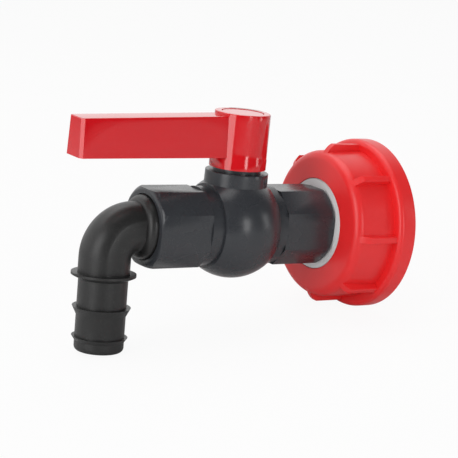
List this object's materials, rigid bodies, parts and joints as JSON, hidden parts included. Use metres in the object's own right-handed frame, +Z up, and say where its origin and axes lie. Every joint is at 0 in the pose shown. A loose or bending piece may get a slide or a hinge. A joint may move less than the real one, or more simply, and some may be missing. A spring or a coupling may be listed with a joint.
{
  "type": "ibc tank valve",
  "caption": "Ball valve for a tank's outlet: a ribbed union nut, a quarter-turn lever with stops and a hose elbow with a barbed tail.",
  "frame": {"origin": "centre of the union nut's open mouth, where it meets the tank's outlet", "axes": "+X along the bore towards the tank, +Z up the lever's stem, hose tail downwards"},
  "size_m": [0.164, 0.082, 0.1102],
  "materials": {
    "nut": "satin moulded polypropylene",
    "lever": "glossy moulded ABS",
    "body": "semi-gloss dark grey PVC",
    "adapter": "semi-gloss white polypropylene",
    "elbow": "nearly black, lightly grained polypropylene",
    "gasket": "matt EPDM",
    "seal": "matt EPDM",
    "seat": "waxy white PTFE",
    "ball": "polished grey PVC",
    "stem": "smooth grey PVC",
    "steel": "brushed stainless steel"
  },
  "bodies": {
    "valve": {"valve_body": "body", "end_connector": "body", "tank_adapter": "adapter", "tank_gasket": "gasket", "adapter_o_ring": "seal", "connector_o_ring": "seal", "outlet_seat": "seat", "outlet_seat_o_ring": "seal", "inlet_seat": "seat", "inlet_seat_o_ring": "seal", "elbow": "elbow", "elbow_o_ring": "seal"},
    "lever": {"lever": "lever", "lever_cap": "lever", "lever_screw": "steel", "lever_screw_washer": "steel", "stem": "stem", "stem_lower_o_ring": "seal", "stem_upper_o_ring": "seal", "stem_thrust_washer": "seat"},
    "ball": {"ball": "ball"},
    "nut": {"union_nut": "nut"}
  },
  "joints": [
    {"name": "lever_turn", "type": "hinge", "parent": "valve", "child": "lever", "pos_m": [-0.078, 0, 0.0277], "axis": [0, 0, 1], "range_deg": [-90, 0]},
    {"name": "ball_turn", "type": "hinge", "parent": "valve", "child": "ball", "pos_m": [-0.078, 0, 0], "axis": [0, 0, 1], "range_deg": [-90, 0]},
    {"name": "nut_spin", "type": "hinge", "parent": "valve", "child": "nut", "pos_m": [0, 0, 0], "axis": [1, 0, 0], "continuous": true}
  ],
  "couplings": [
    {"joint": "ball_turn", "follows": "lever_turn", "ratio": 1}
  ]
}
